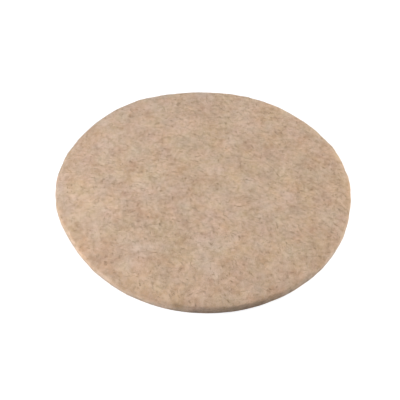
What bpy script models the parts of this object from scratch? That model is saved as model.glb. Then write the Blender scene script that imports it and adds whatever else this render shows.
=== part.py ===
"""Felt polishing wheel for a flat lap: a disc of pressed wool felt on a peel-and-stick back.

Run it with: blender --background --python part.py

Metres, +Z up. The wheel lies with its polishing face up. The origin is the centre of its underside,
and the spin axis of the lap that carries it is Z. From the bottom up the pieces are a release liner,
a double-sided adhesive film and the felt.
"""

import math

import bmesh
import bpy

MM = 0.001
INCH = 25.4 * MM

# Driving dimensions.
WHEEL_DIAMETER = 8 * INCH
FELT_THICKNESS = INCH / 4
ADHESIVE_THICKNESS = 0.15 * MM
LINER_THICKNESS = 0.12 * MM
LAYER_GAP = 0.05 * MM

# The felt's cut edge: soft corners, the top one rounder from handling than the bottom one by the film.
TOP_EDGE_RADIUS = 2.0 * MM
BOTTOM_EDGE_RADIUS = 0.8 * MM
EDGE_SEGMENTS = 5

# How far each backing layer's edge stands in from the felt's.
ADHESIVE_INSET = 0.9 * MM
LINER_INSET = 0.7 * MM

# The blank is cut out by hand, so its outline strays from a circle by a few slow waves:
# (waves in one turn, how far they stray, the direction of a crest in degrees).
OUTLINE_WAVES = (
    (3, 1.0 * MM, 33),
    (4, 0.15 * MM, 7),
    (5, 0.2 * MM, -25),
    (6, 0.4 * MM, 9),
    (7, 0.2 * MM, 24),
)
OUTLINE_POINTS = 192

LINER_BOTTOM = 0.0
ADHESIVE_BOTTOM = LINER_BOTTOM + LINER_THICKNESS + LAYER_GAP
FELT_BOTTOM = ADHESIVE_BOTTOM + ADHESIVE_THICKNESS + LAYER_GAP


def outline_radius(angle):
    """Radius of the wheel's cut outline in a direction, in radians from +X towards +Y."""
    radius = WHEEL_DIAMETER / 2
    for waves, depth, crest in OUTLINE_WAVES:
        radius += depth * math.cos(waves * (angle - math.radians(crest)))
    return radius


def clear_scene():
    for obj in list(bpy.data.objects):
        bpy.data.objects.remove(obj)


def make_material(name, colour, roughness, alpha=1.0):
    """A Principled material with a linear RGB colour."""
    material = bpy.data.materials.new(name)
    material.use_nodes = True
    shader = material.node_tree.nodes["Principled BSDF"]
    shader.inputs["Base Color"].default_value = (*colour, 1.0)
    shader.inputs["Roughness"].default_value = roughness
    shader.inputs["Metallic"].default_value = 0.0
    shader.inputs["Alpha"].default_value = alpha
    return material


def make_disc(name, thickness, bottom, inset, material, collection):
    """A flat disc with the wheel's outline, set in by inset, whose underside is at height bottom."""
    mesh = bpy.data.meshes.new(name)
    bm = bmesh.new()
    bmesh.ops.create_cone(
        bm,
        cap_ends=True,
        segments=OUTLINE_POINTS,
        radius1=WHEEL_DIAMETER / 2,
        radius2=WHEEL_DIAMETER / 2,
        depth=thickness,
    )
    for vertex in bm.verts:
        angle = math.atan2(vertex.co.y, vertex.co.x)
        radius = outline_radius(angle) - inset
        vertex.co.x = radius * math.cos(angle)
        vertex.co.y = radius * math.sin(angle)
    bm.to_mesh(mesh)
    bm.free()
    mesh.materials.append(material)
    disc = bpy.data.objects.new(name, mesh)
    disc.location.z = bottom + thickness / 2
    collection.objects.link(disc)
    return disc


def round_rims(disc):
    """Rounds the felt's two rims with one Bevel, its width shared out by each rim's edge weight."""
    mesh = disc.data
    weights = mesh.attributes.new("bevel_weight_edge", "FLOAT", "EDGE")
    for edge in mesh.edges:
        heights = [mesh.vertices[index].co.z for index in edge.vertices]
        if min(heights) > 0:
            weights.data[edge.index].value = 1.0
        elif max(heights) < 0:
            weights.data[edge.index].value = BOTTOM_EDGE_RADIUS / TOP_EDGE_RADIUS
    bevel = disc.modifiers.new("rounded rims", "BEVEL")
    bevel.limit_method = "WEIGHT"
    bevel.width = TOP_EDGE_RADIUS
    bevel.segments = EDGE_SEGMENTS


def build():
    clear_scene()
    wheel = bpy.data.collections.new("felt_polishing_wheel")
    bpy.context.scene.collection.children.link(wheel)

    felt = make_material("wool_felt", (0.55, 0.40, 0.28), roughness=0.95)
    adhesive = make_material("adhesive_film", (0.80, 0.74, 0.58), roughness=0.35, alpha=0.8)
    liner = make_material("kraft_liner", (0.60, 0.42, 0.24), roughness=0.55)

    felt_disc = make_disc("felt_disc", FELT_THICKNESS, FELT_BOTTOM, 0.0, felt, wheel)
    round_rims(felt_disc)
    felt_disc.data.shade_smooth()
    felt_disc.data.set_sharp_from_angle(angle=math.radians(40))
    make_disc("adhesive_film", ADHESIVE_THICKNESS, ADHESIVE_BOTTOM, ADHESIVE_INSET, adhesive, wheel)
    make_disc("release_liner", LINER_THICKNESS, LINER_BOTTOM, LINER_INSET, liner, wheel)


build()
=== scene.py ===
"""Looks for the felt polishing wheel: matted wool felt with its hairs, sticky back, liner and a studio.

Metres, +Z up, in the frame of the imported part. The wheel lies on a pale floor with its polishing face up.
"""

import math

import bmesh
import bpy
import numpy as np
from mathutils import Matrix, Vector, noise


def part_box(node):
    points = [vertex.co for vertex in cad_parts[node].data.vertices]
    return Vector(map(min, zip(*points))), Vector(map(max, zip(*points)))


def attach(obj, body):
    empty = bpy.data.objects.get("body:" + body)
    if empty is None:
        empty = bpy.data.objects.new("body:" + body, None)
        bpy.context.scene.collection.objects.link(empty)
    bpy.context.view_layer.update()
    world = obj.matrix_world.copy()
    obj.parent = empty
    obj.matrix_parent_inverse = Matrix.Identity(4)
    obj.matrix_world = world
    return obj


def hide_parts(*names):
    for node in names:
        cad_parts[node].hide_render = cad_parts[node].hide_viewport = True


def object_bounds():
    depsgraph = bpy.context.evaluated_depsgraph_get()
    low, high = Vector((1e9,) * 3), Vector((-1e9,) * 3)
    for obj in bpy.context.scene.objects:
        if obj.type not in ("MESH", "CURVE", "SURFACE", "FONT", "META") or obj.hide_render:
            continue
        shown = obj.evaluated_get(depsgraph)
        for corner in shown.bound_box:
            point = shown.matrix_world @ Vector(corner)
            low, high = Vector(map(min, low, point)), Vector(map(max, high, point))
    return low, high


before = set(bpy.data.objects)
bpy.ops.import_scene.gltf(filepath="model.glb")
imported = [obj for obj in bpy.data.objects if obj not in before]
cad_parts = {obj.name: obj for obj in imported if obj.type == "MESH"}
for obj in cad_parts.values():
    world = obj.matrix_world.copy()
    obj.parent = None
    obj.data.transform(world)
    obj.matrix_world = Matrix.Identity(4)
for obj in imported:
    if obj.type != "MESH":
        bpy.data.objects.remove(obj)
cad_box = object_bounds()

MM = 0.001
TINY = 1e-12
RANDOM = np.random.default_rng(8)

# The felt body. Its size, height and outline come from the CAD disc.
TOP_ROUNDING = 2.0 * MM
BOTTOM_ROUNDING = 0.8 * MM
FACE_CELLS = 265
TOP_RINGS = 6
WALL_RINGS = 6
BOTTOM_RINGS = 3
# A point of the CAD disc at least this share of a rounding in from its top or bottom is on its wall.
ROUNDED_SHARE = 0.95

# The face falls away towards the rim: how far in that starts, how far it falls, and how steep it gets.
DROOP_REACH = 7.5 * MM
DROOP = 0.7 * MM
SHOULDER_LEAN = math.atan(3 * DROOP / DROOP_REACH)

# The felt's uneven skin: (size of the swells, how high they stand). The second kind shows on the cut side.
SWELLS = ((38 * MM, 0.12 * MM), (11 * MM, 0.08 * MM), (4 * MM, 0.06 * MM))
RIM_SWELLS = ((7 * MM, 0.22 * MM), (3 * MM, 0.16 * MM), (1.3 * MM, 0.06 * MM))
# The hand-made cut's swerves: (size, how far they stray). Going up or down the wall changes them little.
CUT_SWERVES = ((19 * MM, 0.45 * MM), (10 * MM, 0.42 * MM), (5 * MM, 0.18 * MM))
SWERVE_CHANGE_WITH_HEIGHT = 0.3
# The skin is flat at the film and reaches its full unevenness this far above it.
CALM_ABOVE_FILM = 1.0 * MM
# Where in the endless noise the felt's swells are taken from, in features: well away from its origin.
NOISE_START = 50

# The fibres on the face: some of them lie near the way the wool was carded.
CARDED_HEADING = math.radians(-68)
CARDED_SPREAD = math.radians(30)
CARDED_SHARE = 0.38
# One that would run further over the rounded rim than this share of it is shortened, again and again.
LONGEST_OVERHANG = 0.6
SHORTENINGS = 8
SHORTENED = 0.7
# Those on the rim keep about level, give or take this many radians, and the highest has its middle this
# share of the rounding down from the face.
RIM_SPREAD = 0.35
RIM_START = 0.1
# How far the fibres of one tuft lie apart, and how their headings differ, in radians.
TUFT_LOOSENESS = 0.22 * MM
TUFT_SPLAY = 0.12
# How a fibre turns at random from step to step, in radians, and how much thinner its tips are.
WANDER = 0.14
TAPER = 0.7
# How far its middle is raised over its sunk tips and how much it bobs up and down between them, in its own
# widths, and the least and the most times that it bobs.
ARCH = 1.4
BOB = 0.4
BOBS_ALONG = (0.6, 2.2)

# The loose fuzz on the rim: its fibres' lengths, widths and curl, how high their tips stand, where on the
# skin it starts, and how far above the wall's foot its fibres' middles and all the rest of them stay.
FUZZ_LENGTH = (0.8 * MM, 2.4 * MM)
FUZZ_WIDTH = (0.025 * MM, 0.045 * MM)
FUZZ_CURL = 2.5
FUZZ_TIP_HEIGHT = (0.1 * MM, 0.55 * MM)
FUZZ_START = -1.5 * MM
FUZZ_MIDDLE_ABOVE_FOOT = 0.6 * MM
FUZZ_ABOVE_FOOT = 0.3 * MM

# The patches of colour in the sheet are drawn out along Y a little. Each layer of matted streaks comes
# from another part of the same noise, this far on.
SHEET_STRETCH = (1.0, 0.86, 1.0)
LAYER_SHIFT = (0.31, 0.17, 0.05)
WHITE = (1.0, 1.0, 1.0)

# The studio.
CAMERA_DISTANCE = 0.6096
CAMERA_ELEVATION = 46.95
CAMERA_ROLL = 2.45
CAMERA_AIM = (-0.0026, -0.0074, 0.0)
CAMERA_LENS = 78.9
AMBIENT = 0.02
# Broad, low, slightly warm light from the right.
SUN_STRENGTH = 3.00
SUN_COLOUR = (1.01, 1.0, 0.95)
SUN_ELEVATION = 15
SUN_AZIMUTH = 20
SUN_SOFTNESS = 28
# Soft boxes: (name, power, place, colour). The ones on the left are slightly cool.
SOFT_BOXES = (
    ("front_left_box", 3.40, (-0.5, -0.2, 0.2), (0.98, 1.0, 1.05)),
    ("left_box", 0.25, (-0.4, 0.0, 0.25), (0.98, 1.0, 1.05)),
    ("right_box", 0.98, (0.3, 0.1, 0.35), WHITE),
)
SOFT_BOX_SIZE = 0.25
# The floor: its shade for the light that bounces off it, and its shade and glow as the camera sees it.
FLOOR_SIZE = 30.0
FLOOR_BELOW = 0.02 * MM
FLOOR_SHADE = 0.8
FLOOR_SEEN_SHADE = 0.35
FLOOR_GLOW = 0.88

FELT_LOW, FELT_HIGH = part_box("felt_disc")
TOP_ARC = TOP_ROUNDING * (math.pi / 2 - SHOULDER_LEAN)
TOP_INSET = TOP_ROUNDING * (1 - math.sin(SHOULDER_LEAN))
TOP_FALL = TOP_ROUNDING * math.cos(SHOULDER_LEAN)
BOTTOM_ARC = BOTTOM_ROUNDING * math.pi / 2
WALL_HEIGHT = FELT_HIGH.z - DROOP - FELT_LOW.z - TOP_FALL - BOTTOM_ROUNDING


# ---------------------------------------------------------------- the felt's shape


def cut_edge():
    """Directions round the felt, and the radius of its cut edge in each, from the wall of the CAD disc."""
    points = np.array([vertex.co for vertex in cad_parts["felt_disc"].data.vertices])
    above = points[:, 2] > FELT_LOW.z + ROUNDED_SHARE * BOTTOM_ROUNDING
    below = points[:, 2] < FELT_HIGH.z - ROUNDED_SHARE * TOP_ROUNDING
    wall = points[above & below]
    return np.arctan2(wall[:, 1], wall[:, 0]), np.hypot(wall[:, 0], wall[:, 1])


EDGE_ANGLES, EDGE_RADII = cut_edge()


def edge_radius(angle):
    """Radius of the cut edge in a direction."""
    return np.interp(angle, EDGE_ANGLES, EDGE_RADII, period=math.tau)


def on_skin(angle, past):
    """Points on the felt's ideal skin, and the way out of it at each.

    past is the distance along the skin beyond the line where the face starts to round down: it is
    negative on the face, and it grows down over the rim, the wall and the bottom corner.
    """
    droop = np.clip(1 + past / DROOP_REACH, 0, 1)
    top_lean = np.clip(SHOULDER_LEAN + past / TOP_ROUNDING, SHOULDER_LEAN, math.pi / 2)
    down_wall = np.clip(past - TOP_ARC, 0, WALL_HEIGHT)
    bottom_lean = np.clip((past - TOP_ARC - WALL_HEIGHT) / BOTTOM_ROUNDING, 0, math.pi / 2)
    radius = edge_radius(angle) + np.minimum(past, 0)
    radius = radius - TOP_ROUNDING * (1 - np.sin(top_lean)) - BOTTOM_ROUNDING * (1 - np.cos(bottom_lean))
    height = FELT_HIGH.z - DROOP * droop**3 - TOP_FALL + TOP_ROUNDING * np.cos(top_lean) - down_wall
    height = height - BOTTOM_ROUNDING * np.sin(bottom_lean)
    lean = np.where(past > 0, top_lean, SHOULDER_LEAN * droop**2) + bottom_lean
    point = np.stack([radius * np.cos(angle), radius * np.sin(angle), height], axis=-1)
    outward = np.stack([np.cos(angle) * np.sin(lean), np.sin(angle) * np.sin(lean), np.cos(lean)], axis=-1)
    return point, outward


def swell(points, size):
    """Smooth noise from about -1 to 1, with features of this size, at each of the points."""
    flat = (points.reshape(-1, 3) / size + NOISE_START).tolist()
    return np.array([noise.noise(place) for place in flat]).reshape(points.shape[:-1])


def relief(points, outward):
    """How far the real skin stands out of the ideal one at each point."""
    sideways = 1 - np.abs(outward[..., 2])
    height = sum(tall * swell(points, size) for size, tall in SWELLS)
    return height + sideways * sum(tall * swell(points, size) for size, tall in RIM_SWELLS)


def swerve(angle, past, points):
    """How far the hand-made cut strays sideways at each point. The face next to it goes with it."""
    radius = edge_radius(angle)
    height = points[..., 2] * SWERVE_CHANGE_WITH_HEIGHT
    on_cut = np.stack([radius * np.cos(angle), radius * np.sin(angle), height], axis=-1)
    stray = sum(wide * swell(on_cut, size) for size, wide in CUT_SWERVES)
    return stray * np.clip(1 + past / DROOP_REACH, 0, 1)


def rough_skin(angle, past):
    """Points on the felt's uneven skin, and the way out of it at each."""
    point, outward = on_skin(angle, past)
    calm = np.clip((point[..., 2] - FELT_LOW.z) / CALM_ABOVE_FILM, 0, 1)
    sideways = np.stack([np.cos(angle), np.sin(angle), np.zeros(angle.shape)], axis=-1)
    rough = outward * relief(point, outward)[..., None] + sideways * swerve(angle, past, point)[..., None]
    return point + rough * calm[..., None], outward


def square_to_disc(a, b):
    """The angle and the share of the radius at which a point of the square from -1 to 1 falls on a disc."""
    wide = np.abs(a) > np.abs(b)
    reach = np.where(wide, a, b)
    safe = np.where(reach == 0, 1, reach)
    turn = np.where(wide, math.pi / 4 * b / safe, math.pi / 2 - math.pi / 4 * a / safe)
    return np.arctan2(reach * np.sin(turn), reach * np.cos(turn)), np.abs(reach)


def felt_body():
    """One closed body: a fine grid for the face, rings for the rim and wall, and a flat back."""
    bm = bmesh.new()
    bmesh.ops.create_grid(bm, x_segments=FACE_CELLS, y_segments=FACE_CELLS, size=1)
    border = [edge for edge in bm.edges if edge.is_boundary]
    arc = TOP_ARC * np.arange(1, TOP_RINGS + 1) / TOP_RINGS
    wall = TOP_ARC + WALL_HEIGHT * np.arange(1, WALL_RINGS + 1) / WALL_RINGS
    corner = wall[-1] + BOTTOM_ARC * np.arange(1, BOTTOM_RINGS + 1) / BOTTOM_RINGS
    ring_past = np.concatenate([[0], arc, wall, corner])
    for ring in range(1, len(ring_past)):
        made = bmesh.ops.extrude_edge_only(bm, edges=border)["geom"]
        for part in made:
            if isinstance(part, bmesh.types.BMVert):
                part.co.z = -ring
        border = [part for part in made if isinstance(part, bmesh.types.BMEdge) and part.is_boundary]
    bmesh.ops.contextual_create(bm, geom=border)
    mesh = bpy.data.meshes.new("felt_body")
    bm.to_mesh(mesh)
    bm.free()

    flat = np.empty(len(mesh.vertices) * 3)
    mesh.vertices.foreach_get("co", flat)
    flat = flat.reshape(-1, 3)
    angle, share = square_to_disc(flat[:, 0], flat[:, 1])
    ring = np.rint(-flat[:, 2]).astype(int)
    across_face = (share - 1) * (edge_radius(angle) - TOP_INSET)
    past = np.where(ring > 0, ring_past[ring], across_face)
    points, outward = rough_skin(angle, past)
    mesh.vertices.foreach_set("co", points.ravel())
    mesh.update()
    mesh.shade_smooth()
    body = bpy.data.objects.new("felt_body", mesh)
    bpy.context.scene.collection.objects.link(body)
    return body


# ---------------------------------------------------------------- fibres


def wandering_paths(count, steps, lengths, curl, heading):
    """Curved flat paths about their own middles: (count, steps + 1) offsets along and across."""
    way = np.linspace(-0.5, 0.5, steps)
    angles = heading[:, None] + RANDOM.normal(0, curl, (count, 1)) * way
    angles = angles + np.cumsum(RANDOM.normal(0, WANDER, (count, steps)), axis=1)
    step = lengths[:, None] / steps
    x = np.concatenate([np.zeros((count, 1)), np.cumsum(step * np.cos(angles), axis=1)], axis=1)
    y = np.concatenate([np.zeros((count, 1)), np.cumsum(step * np.sin(angles), axis=1)], axis=1)
    return x - x.mean(axis=1, keepdims=True), y - y.mean(axis=1, keepdims=True)


def on_flat(x, y):
    """Angles and distances past the face's edge of points seen from above."""
    angle = np.arctan2(y, x)
    return angle, np.hypot(x, y) - edge_radius(angle) + TOP_INSET


def on_face(count, steps, lengths, curl, tuft):
    """Angles and distances past the face's edge of fibres strewn evenly over the face, so many to a tuft.

    The tufts lie at any heading, but some of them keep near the way the wool was carded.
    """
    tufts = count // tuft
    any_way = RANDOM.uniform(0, math.tau, tufts)
    combed = RANDOM.normal(CARDED_HEADING, CARDED_SPREAD, tufts)
    heading = np.where(RANDOM.uniform(0, 1, tufts) < CARDED_SHARE, combed, any_way)
    middle = RANDOM.uniform(0, math.tau, tufts)
    reach = np.sqrt(RANDOM.uniform(0, 1, tufts)) * edge_radius(middle)
    middle_x, middle_y = (
        (np.repeat(along, tuft) + RANDOM.normal(0, TUFT_LOOSENESS, count))[:, None]
        for along in (reach * np.cos(middle), reach * np.sin(middle))
    )
    heading = np.repeat(heading, tuft) + RANDOM.normal(0, TUFT_SPLAY, count)
    x, y = wandering_paths(count, steps, lengths, curl, heading)
    for _ in range(SHORTENINGS):
        angle, past = on_flat(middle_x + x, middle_y + y)
        crosses = past.max(axis=1) > LONGEST_OVERHANG * TOP_ARC
        x[crosses] *= SHORTENED
        y[crosses] *= SHORTENED
    angle, past = on_flat(middle_x + x, middle_y + y)
    return angle, np.minimum(past, TOP_ARC)


def on_rim(count, steps, lengths, curl, tuft):
    """The same for fibres that lie along the rounded rim and the cut wall."""
    heading = RANDOM.normal(0, RIM_SPREAD, count)
    x, y = wandering_paths(count, steps, lengths, curl, heading)
    end = TOP_ARC + WALL_HEIGHT
    middle = np.repeat(RANDOM.uniform(0, math.tau, (count // tuft, 1)), tuft, axis=0)
    past = np.repeat(RANDOM.uniform(RIM_START * TOP_ARC, end, (count // tuft, 1)), tuft, axis=0)
    past = past + RANDOM.normal(0, TUFT_LOOSENESS, (count, 1)) + y
    angle = middle + (x + RANDOM.normal(0, TUFT_LOOSENESS, (count, 1))) / edge_radius(middle)
    return angle, np.clip(past, 0, end)


def tubes(name, centres, outward, widths):
    """A mesh object with one closed, tapered, three-sided tube along each row of centres."""
    count, rings = centres.shape[:2]
    along = np.gradient(centres, axis=1)
    along /= np.linalg.norm(along, axis=-1, keepdims=True) + TINY
    across = np.cross(along, outward)
    across /= np.linalg.norm(across, axis=-1, keepdims=True) + TINY
    up = np.cross(across, along)
    way = np.abs(np.linspace(-1, 1, rings))
    radii = widths[:, None] / 2 * (1 - TAPER * way**4)
    turns = math.tau * np.arange(3) / 3 + math.pi / 2
    corners = [
        centres + radii[..., None] * (across * math.cos(turn) + up * math.sin(turn)) for turn in turns
    ]
    points = np.stack(corners, axis=2).reshape(-1, 3)

    number = np.arange(count * rings * 3).reshape(count, rings, 3)
    following = np.roll(number, -1, axis=2)
    sides = np.stack([number[:, :-1], number[:, 1:], following[:, 1:], following[:, :-1]], axis=-1)
    start_caps = number[:, 0]
    end_caps = number[:, -1, ::-1]
    faces = sides.reshape(-1, 4).tolist() + start_caps.tolist() + end_caps.tolist()
    mesh = bpy.data.meshes.new(name)
    mesh.from_pydata(points, [], faces)
    mesh.shade_smooth()
    piece = bpy.data.objects.new(name, mesh)
    bpy.context.scene.collection.objects.link(piece)
    return piece


def lay(name, material, angle, past, lift, widths):
    """A piece of fibres that run over the felt's skin, this far out of it."""
    skin, outward = rough_skin(angle, past)
    piece = tubes(name, skin + outward * lift[..., None], outward, widths)
    piece.data.materials.append(material)
    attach(piece, "pad")


def strew(name, material, count, spread, length, width, steps=8, curl=1.0, sunk=0.25, tuft=1):
    """A piece of many fibres on the felt's skin, whose ends and dips are tucked into it."""
    lengths = RANDOM.uniform(*length, count)
    widths = RANDOM.uniform(*width, count)
    angle, past = spread(count, steps, lengths, curl, tuft)
    way = np.linspace(0, 1, steps + 1)
    arch = np.sqrt(np.sin(math.pi * way))
    bobs_along = RANDOM.uniform(*BOBS_ALONG, (count, 1))
    bobs = np.sin(math.tau * (bobs_along * way + RANDOM.uniform(0, 1, (count, 1))))
    lift = widths[:, None] * (ARCH * arch - 1.0 - sunk + BOB * bobs)
    lay(name, material, angle, past, lift, widths)


def fuzz(name, material, count, steps=6):
    """Loose fibre ends that stand a little off the rim."""
    lengths = RANDOM.uniform(*FUZZ_LENGTH, count)
    widths = RANDOM.uniform(*FUZZ_WIDTH, count)
    foot = TOP_ARC + WALL_HEIGHT
    x, y = wandering_paths(count, steps, lengths, FUZZ_CURL, RANDOM.uniform(0, math.tau, count))
    middle = RANDOM.uniform(0, math.tau, (count, 1))
    past = RANDOM.uniform(FUZZ_START, foot - FUZZ_MIDDLE_ABOVE_FOOT, (count, 1))
    angle = middle + x / edge_radius(middle)
    past = np.minimum(past + y, foot - FUZZ_ABOVE_FOOT)
    way = np.linspace(0, 1, steps + 1)
    lift = RANDOM.uniform(*FUZZ_TIP_HEIGHT, (count, 1)) * way**1.5 - widths[:, None]
    lay(name, material, angle, past, lift, widths)


# ---------------------------------------------------------------- materials


class Nodes:
    """A new node material, with short ways to add nodes and feed their inputs."""

    def __init__(self, name):
        self.material = bpy.data.materials.new(name)
        self.material.use_nodes = True
        self.tree = self.material.node_tree
        self.shader = self.tree.nodes["Principled BSDF"]
        self.place = self.tree.nodes.new("ShaderNodeTexCoord").outputs["Object"]

    def feed(self, socket, value):
        if isinstance(value, bpy.types.NodeSocket):
            self.tree.links.new(value, socket)
        elif value is not None:
            socket.default_value = value

    def surface(self, **inputs):
        for name, value in inputs.items():
            self.feed(self.shader.inputs[name.replace("_", " ")], value)
        return self.material

    def maths(self, operation, *values, clamp=False):
        node = self.tree.nodes.new("ShaderNodeMath")
        node.operation = operation
        node.use_clamp = clamp
        for socket, value in zip(node.inputs, values):
            self.feed(socket, value)
        return node.outputs[0]

    def vectors(self, operation, *values):
        node = self.tree.nodes.new("ShaderNodeVectorMath")
        node.operation = operation
        for socket, value in zip(node.inputs, values):
            self.feed(socket, value)
        return node.outputs[0]

    def noise(self, place, size, detail=2.0, roughness=0.5, output="Fac"):
        """Noise from 0 to 1 with features of this size, in metres."""
        node = self.tree.nodes.new("ShaderNodeTexNoise")
        self.feed(node.inputs["Vector"], place)
        node.inputs["Scale"].default_value = 1 / size
        node.inputs["Detail"].default_value = detail
        node.inputs["Roughness"].default_value = roughness
        return node.outputs[output]

    def spread(self, value, low, high, to_low=0.0, to_high=1.0):
        """value from low to high turned smoothly into to_low to to_high."""
        node = self.tree.nodes.new("ShaderNodeMapRange")
        node.interpolation_type = "SMOOTHSTEP"
        for name, number in zip(("From Min", "From Max", "To Min", "To Max"), (low, high, to_low, to_high)):
            node.inputs[name].default_value = number
        self.feed(node.inputs["Value"], value)
        return node.outputs["Result"]

    def mix(self, share, first, second, blend="MIX"):
        node = self.tree.nodes.new("ShaderNodeMix")
        node.data_type = "RGBA"
        node.blend_type = blend
        self.feed(node.inputs[0], share)
        self.feed(node.inputs[6], (*first, 1.0) if isinstance(first, tuple) else first)
        self.feed(node.inputs[7], (*second, 1.0) if isinstance(second, tuple) else second)
        return node.outputs[2]

    def tint(self, colour, by):
        """A colour multiplied by another colour or by a brightness."""
        return self.mix(1.0, colour, by, "MULTIPLY")

    def ramp(self, value, stops):
        """A colour from a list of (place, colour) stops."""
        node = self.tree.nodes.new("ShaderNodeValToRGB")
        ramp = node.color_ramp
        for place, colour in stops[1:-1]:
            ramp.elements.new(place)
        for element, (place, colour) in zip(ramp.elements, stops):
            element.position = place
            element.color = (*colour, 1.0)
        self.feed(node.inputs[0], value)
        return node.outputs[0]

    def drift(self, place, size, detail, low, middle, high, shift=(0.0, 0.0, 0.0)):
        """A colour that drifts between three as it goes over the surface, in patches of this size."""
        field = self.noise(self.vectors("ADD", place, shift), size, detail)
        return self.ramp(field, [(0.3, low), (0.5, middle), (0.7, high)])

    def height(self):
        """The height above the table."""
        node = self.tree.nodes.new("ShaderNodeSeparateXYZ")
        self.feed(node.inputs[0], self.place)
        return node.outputs[2]

    def bump(self, height, distance):
        node = self.tree.nodes.new("ShaderNodeBump")
        node.inputs["Strength"].default_value = 1.0
        node.inputs["Distance"].default_value = distance
        self.feed(node.inputs["Height"], height)
        return node.outputs[0]

    def streaks(self, place, heading, length, width, sharp):
        """Thin lines from 0 to 1 that run about one way: the ridges of noise drawn out along heading."""
        node = self.tree.nodes.new("ShaderNodeMapping")
        node.vector_type = "TEXTURE"
        node.inputs["Rotation"].default_value = (0, 0, heading)
        node.inputs["Scale"].default_value = (length, width, width)
        self.feed(node.inputs["Vector"], place)
        field = self.noise(node.outputs[0], 1.0, detail=1.5)
        off_ridge = self.maths("ABSOLUTE", self.maths("SUBTRACT", field, 0.5))
        return self.maths("MULTIPLY_ADD", off_ridge, -sharp, 1.0, clamp=True)

    def matted(self, place, layers, start, length, width, sharp):
        """Streaks at several headings laid over each other."""
        total = None
        for layer in range(layers):
            shifted = self.vectors("ADD", place, tuple(layer * step for step in LAYER_SHIFT))
            lines = self.streaks(shifted, start + layer * math.pi / layers, length, width, sharp)
            total = lines if total is None else self.maths("MAXIMUM", total, lines)
        return total


def felt_material():
    """Pressed wool: mottled beige, crossed by lighter and darker fibres that lie every way in the sheet."""
    n = Nodes("wool_felt")
    place = n.vectors("MULTIPLY", n.place, SHEET_STRETCH)
    sway = n.vectors("SUBTRACT", n.noise(place, 6 * MM, output="Color"), (0.5, 0.5, 0.5))
    bent = n.vectors("ADD", place, n.vectors("MULTIPLY", sway, (3 * MM, 3 * MM, 1 * MM)))

    beiges = ((0.535, 0.355, 0.223), (0.58, 0.405, 0.273), (0.625, 0.457, 0.326))
    blotches = n.drift(place, 17 * MM, 3.0, *beiges)
    yellowing = n.drift(place, 12 * MM, 3.0, (0.98, 1.0, 1.11), WHITE, (1.02, 1.0, 0.89), (0.4, 0.2, 0.0))
    blush = n.drift(place, 12 * MM, 2.5, (0.945, 1.01, 1.01), WHITE, (1.055, 0.99, 0.99), (0.6, 0.9, 0.0))
    clouds = n.drift(place, 10 * MM, 1.5, (0.915, 0.88, 0.845), WHITE, (1.07, 1.10, 1.125), (0.8, 0.3, 0.0))
    colour = n.tint(n.tint(blotches, clouds), n.tint(yellowing, blush))
    knots = n.noise(n.vectors("ADD", place, (0.1, 0.7, 0.0)), 3 * MM, detail=2.5)
    colour = n.mix(n.spread(knots, 0.55, 0.74, 0.0, 0.5), colour, n.tint(colour, (0.74, 0.67, 0.58)))

    lanes = n.maths("MULTIPLY", n.matted(bent, 3, 0.9, 26 * MM, 3.2 * MM, 5.0), 0.35)
    colour = n.mix(lanes, colour, n.tint(colour, (0.80, 0.73, 0.65)))
    dark_web = n.matted(bent, 5, 0.3, 7 * MM, 0.9 * MM, 9.0)
    pale_web = n.matted(bent, 5, 0.0, 6 * MM, 0.7 * MM, 8.0)
    fine_web = n.matted(bent, 5, 0.2, 4 * MM, 0.24 * MM, 7.0)
    darker = n.maths("MULTIPLY", dark_web, n.spread(n.noise(place, 4 * MM), 0.4, 0.7, 0.05, 0.45))
    colour = n.mix(darker, colour, n.tint(colour, (0.68, 0.59, 0.49)))
    patchy = n.spread(n.noise(place, 3 * MM), 0.35, 0.65)
    paler = n.maths("MULTIPLY", pale_web, n.maths("MULTIPLY", patchy, 0.32))
    colour = n.mix(paler, colour, (0.75, 0.57, 0.42))
    # Painted shade: the colour darkens from 3.8 mm above the table down to 0.5 mm, to two thirds, where the
    # felt's wall meets the floor.
    foot = n.spread(n.height(), 0.5 * MM, 3.8 * MM, 0.66, 1.0)
    # Painted shade in the gaps between the fine fibres, which the bump sets lower, and a slight painted
    # lightening on the fibres themselves.
    painted_gap_shade = n.spread(fine_web, 0.2, 1.0, 0.86, 1.10)
    colour = n.tint(n.tint(colour, foot), painted_gap_shade)

    height = n.maths("ADD", pale_web, n.maths("MULTIPLY", dark_web, -0.5))
    height = n.maths("ADD", height, n.maths("MULTIPLY", fine_web, 0.5))
    return n.surface(
        Base_Color=colour,
        Roughness=n.spread(pale_web, 0.0, 1.0, 0.95, 0.8),
        Specular_IOR_Level=0.2,
        Sheen_Weight=0.35,
        Sheen_Roughness=0.6,
        Normal=n.bump(height, 0.05 * MM),
    )


def fibre_material(name, stops, shine):
    """Hair whose shade differs from one fibre to the next, and a little along each."""
    n = Nodes(name)
    geometry = n.tree.nodes.new("ShaderNodeNewGeometry")
    own = n.ramp(geometry.outputs["Random Per Island"], stops)
    along = n.spread(n.noise(n.place, 2 * MM), 0.3, 0.7, 0.85, 1.15)
    return n.surface(
        Base_Color=n.tint(own, along),
        Roughness=n.spread(n.noise(n.place, 1 * MM), 0.3, 0.7, 0.6, 0.8),
        Specular_IOR_Level=shine,
        Sheen_Weight=shine,
        Sheen_Roughness=0.6,
    )


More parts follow.
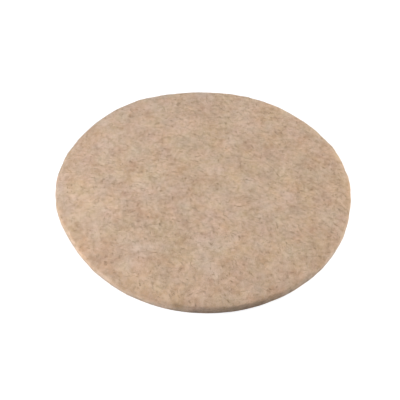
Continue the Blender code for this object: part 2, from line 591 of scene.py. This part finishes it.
def adhesive_material():
    """Pale amber pressure-sensitive film, a little cloudy, with faint coating lines and a smooth gloss."""
    n = Nodes("adhesive_film")
    lines = n.streaks(n.place, 0.0, 60 * MM, 1.5 * MM, 3.0)
    cloud = n.noise(n.place, 9 * MM, detail=4.0)
    colour = n.mix(n.spread(cloud, 0.3, 0.7), (0.70, 0.60, 0.42), (0.80, 0.72, 0.54))
    colour = n.mix(n.maths("MULTIPLY", lines, 0.25), colour, (0.86, 0.80, 0.64))
    height = n.maths("ADD", n.noise(n.place, 2 * MM, detail=3.0), n.maths("MULTIPLY", lines, 0.3))
    return n.surface(
        Base_Color=colour,
        Roughness=n.spread(cloud, 0.3, 0.7, 0.22, 0.4),
        Specular_IOR_Level=0.5,
        Coat_Weight=0.3,
        Coat_Roughness=0.15,
        Normal=n.bump(height, 0.02 * MM),
    )


def liner_material():
    """Siliconised kraft paper: cloudy brown pulp with flecks, and a soft gloss."""
    n = Nodes("kraft_liner")
    cloud = n.noise(n.place, 12 * MM, detail=6.0, roughness=0.7)
    browns = [(0.3, (0.41, 0.265, 0.15)), (0.5, (0.53, 0.36, 0.215)), (0.7, (0.63, 0.455, 0.295))]
    colour = n.ramp(cloud, browns)
    pulp = n.matted(n.place, 4, 0.4, 9 * MM, 0.9 * MM, 8.0)
    pale_pulp = n.matted(n.place, 4, 0.1, 8 * MM, 0.7 * MM, 9.0)
    colour = n.mix(n.maths("MULTIPLY", pulp, 0.5), colour, (0.33, 0.22, 0.135))
    colour = n.mix(n.maths("MULTIPLY", pale_pulp, 0.4), colour, (0.73, 0.56, 0.40))
    flecks = n.spread(n.noise(n.place, 1.6 * MM, detail=1.0), 0.62, 0.69, 0.0, 0.7)
    colour = n.mix(flecks, colour, (0.22, 0.145, 0.09))
    return n.surface(
        Base_Color=colour,
        Roughness=n.spread(cloud, 0.3, 0.7, 0.5, 0.64),
        Specular_IOR_Level=0.35,
        Normal=n.bump(n.maths("ADD", cloud, n.maths("MULTIPLY", pulp, 0.4)), 0.03 * MM),
    )


# ---------------------------------------------------------------- the studio


def is_camera_ray(tree):
    """1 where the camera itself looks, and 0 for light that bounces."""
    return tree.nodes.new("ShaderNodeLightPath").outputs["Is Camera Ray"]


def make_floor():
    """A pale floor that photographs as white with a faint shadow, and bounces light as pale card does."""
    mesh = bpy.data.meshes.new("floor")
    bm = bmesh.new()
    bmesh.ops.create_grid(bm, x_segments=1, y_segments=1, size=FLOOR_SIZE / 2)
    bm.to_mesh(mesh)
    bm.free()
    floor = bpy.data.objects.new("floor", mesh)
    floor.location.z = cad_box[0].z - FLOOR_BELOW
    bpy.context.scene.collection.objects.link(floor)

    material = bpy.data.materials.new("pale_floor")
    material.use_nodes = True
    tree = material.node_tree
    tree.nodes.clear()
    card = tree.nodes.new("ShaderNodeBsdfDiffuse")
    card.inputs["Color"].default_value = (FLOOR_SHADE, FLOOR_SHADE, FLOOR_SHADE, 1.0)
    seen = tree.nodes.new("ShaderNodeBsdfDiffuse")
    seen.inputs["Color"].default_value = (FLOOR_SEEN_SHADE, FLOOR_SEEN_SHADE, FLOOR_SEEN_SHADE, 1.0)
    glow = tree.nodes.new("ShaderNodeEmission")
    glow.inputs["Strength"].default_value = FLOOR_GLOW
    both = tree.nodes.new("ShaderNodeAddShader")
    choose = tree.nodes.new("ShaderNodeMixShader")
    output = tree.nodes.new("ShaderNodeOutputMaterial")
    tree.links.new(seen.outputs[0], both.inputs[0])
    tree.links.new(glow.outputs[0], both.inputs[1])
    tree.links.new(is_camera_ray(tree), choose.inputs[0])
    tree.links.new(card.outputs[0], choose.inputs[1])
    tree.links.new(both.outputs[0], choose.inputs[2])
    tree.links.new(choose.outputs[0], output.inputs["Surface"])
    mesh.materials.append(material)


def make_world():
    """White behind everything, and a faint even light from all round."""
    world = bpy.data.worlds.new("studio")
    bpy.context.scene.world = world
    world.use_nodes = True
    tree = world.node_tree
    light = tree.nodes["Background"]
    light.inputs["Strength"].default_value = AMBIENT
    backdrop = tree.nodes.new("ShaderNodeBackground")
    choose = tree.nodes.new("ShaderNodeMixShader")
    tree.links.new(is_camera_ray(tree), choose.inputs[0])
    tree.links.new(light.outputs[0], choose.inputs[1])
    tree.links.new(backdrop.outputs[0], choose.inputs[2])
    tree.links.new(choose.outputs[0], tree.nodes["World Output"].inputs["Surface"])
    light.inputs["Color"].default_value = (*WHITE, 1.0)
    backdrop.inputs["Color"].default_value = (*WHITE, 1.0)


def aim(obj, place, target, roll=0.0):
    """Puts a camera or a light at a place, facing the target, rolled by some degrees."""
    way = Vector(target) - Vector(place)
    turn = way.to_track_quat("-Z", "Y").to_matrix() @ Matrix.Rotation(math.radians(roll), 3, "Z")
    obj.matrix_world = Matrix.Translation(place) @ turn.to_4x4()


def make_lights():
    """Low soft light from the front left and from the right, and little from straight in front."""
    sun = bpy.data.lights.new("right_sun", "SUN")
    sun.energy = SUN_STRENGTH
    sun.color = SUN_COLOUR
    sun.angle = math.radians(SUN_SOFTNESS)
    sun_object = bpy.data.objects.new("right_sun", sun)
    swing = Matrix.Rotation(math.radians(SUN_AZIMUTH), 3, "Z")
    rise = Matrix.Rotation(math.radians(-SUN_ELEVATION), 3, "Y")
    aim(sun_object, swing @ rise @ Vector((1, 0, 0)), (0, 0, 0))
    bpy.context.scene.collection.objects.link(sun_object)
    for name, power, place, colour in SOFT_BOXES:
        box = bpy.data.lights.new(name, "AREA")
        box.size = SOFT_BOX_SIZE
        box.energy = power
        box.color = colour
        box_object = bpy.data.objects.new(name, box)
        box_object.visible_camera = False
        aim(box_object, place, (0, 0, 0))
        bpy.context.scene.collection.objects.link(box_object)


def make_camera():
    """The camera, in front of the wheel and looking down on it."""
    camera = bpy.data.cameras.new("camera")
    camera.lens = CAMERA_LENS
    camera.clip_start = 0.01
    camera_object = bpy.data.objects.new("camera", camera)
    elevation = math.radians(CAMERA_ELEVATION)
    place = (0, -CAMERA_DISTANCE * math.cos(elevation), CAMERA_DISTANCE * math.sin(elevation))
    aim(camera_object, place, CAMERA_AIM, CAMERA_ROLL)
    bpy.context.scene.collection.objects.link(camera_object)
    bpy.context.scene.camera = camera_object
    bpy.context.scene.view_settings.view_transform = "Standard"


# ---------------------------------------------------------------- put together


def give(node, material):
    """Puts a material on a CAD node in place of its plain one."""
    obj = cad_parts[node]
    for slot in obj.material_slots:
        slot.material = material


def make_felt():
    """The felt disc's visible body, and the fibres on it."""
    body = felt_body()
    body.data.materials.append(felt_material())
    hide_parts("felt_disc")
    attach(body, "pad")

    browns = ((0.27, 0.155, 0.08), (0.35, 0.215, 0.118), (0.42, 0.27, 0.155), (0.48, 0.32, 0.19))
    hair = fibre_material("dark_hair", list(zip((0.0, 0.35, 0.7, 1.0), browns)), shine=0.05)
    pale = fibre_material(
        "pale_wool",
        [(0.0, (0.58, 0.425, 0.297)), (0.5, (0.64, 0.489, 0.358)), (1.0, (0.73, 0.597, 0.457))],
        shine=0.25,
    )
    worn = fibre_material(
        "worn_wool",
        [(0.0, (0.50, 0.385, 0.29)), (0.5, (0.56, 0.45, 0.35)), (1.0, (0.64, 0.54, 0.44))],
        shine=0.25,
    )
    tawny = fibre_material(
        "tawny_wool",
        [(0.0, (0.39, 0.254, 0.151)), (0.5, (0.49, 0.337, 0.217)), (1.0, (0.56, 0.405, 0.278))],
        shine=0.1,
    )

    strew("stray_hairs", hair, 320, on_face, (5 * MM, 13 * MM), (0.09 * MM, 0.17 * MM), steps=10, sunk=0.45)
    length, width = (1.8 * MM, 5.5 * MM), (0.08 * MM, 0.16 * MM)
    strew("dark_tufts", hair, 4800, on_face, length, width, steps=6, curl=0.5, sunk=0.5, tuft=4)
    strew("dark_rim_hairs", hair, 1000, on_rim, (1 * MM, 4 * MM), (0.06 * MM, 0.11 * MM), sunk=0.45, tuft=2)
    for number in (1, 2, 3):
        strew(f"pale_fibres_{number}", pale, 3600, on_face, (3 * MM, 10 * MM), (0.04 * MM, 0.08 * MM))
    for number in (1, 2):
        strew(f"tawny_fibres_{number}", tawny, 3600, on_face, (3 * MM, 10 * MM), (0.04 * MM, 0.09 * MM))
    strew("pale_rim_fibres", worn, 2600, on_rim, (1.5 * MM, 6 * MM), (0.04 * MM, 0.08 * MM), steps=6)
    strew("tawny_rim_fibres", tawny, 2600, on_rim, (1.5 * MM, 6 * MM), (0.04 * MM, 0.08 * MM), steps=6)
    fuzz("rim_fuzz", worn, 2600)


make_felt()
give("adhesive_film", adhesive_material())
give("release_liner", liner_material())
make_floor()
make_world()
make_lights()
make_camera()

bpy.context.view_layer.update()
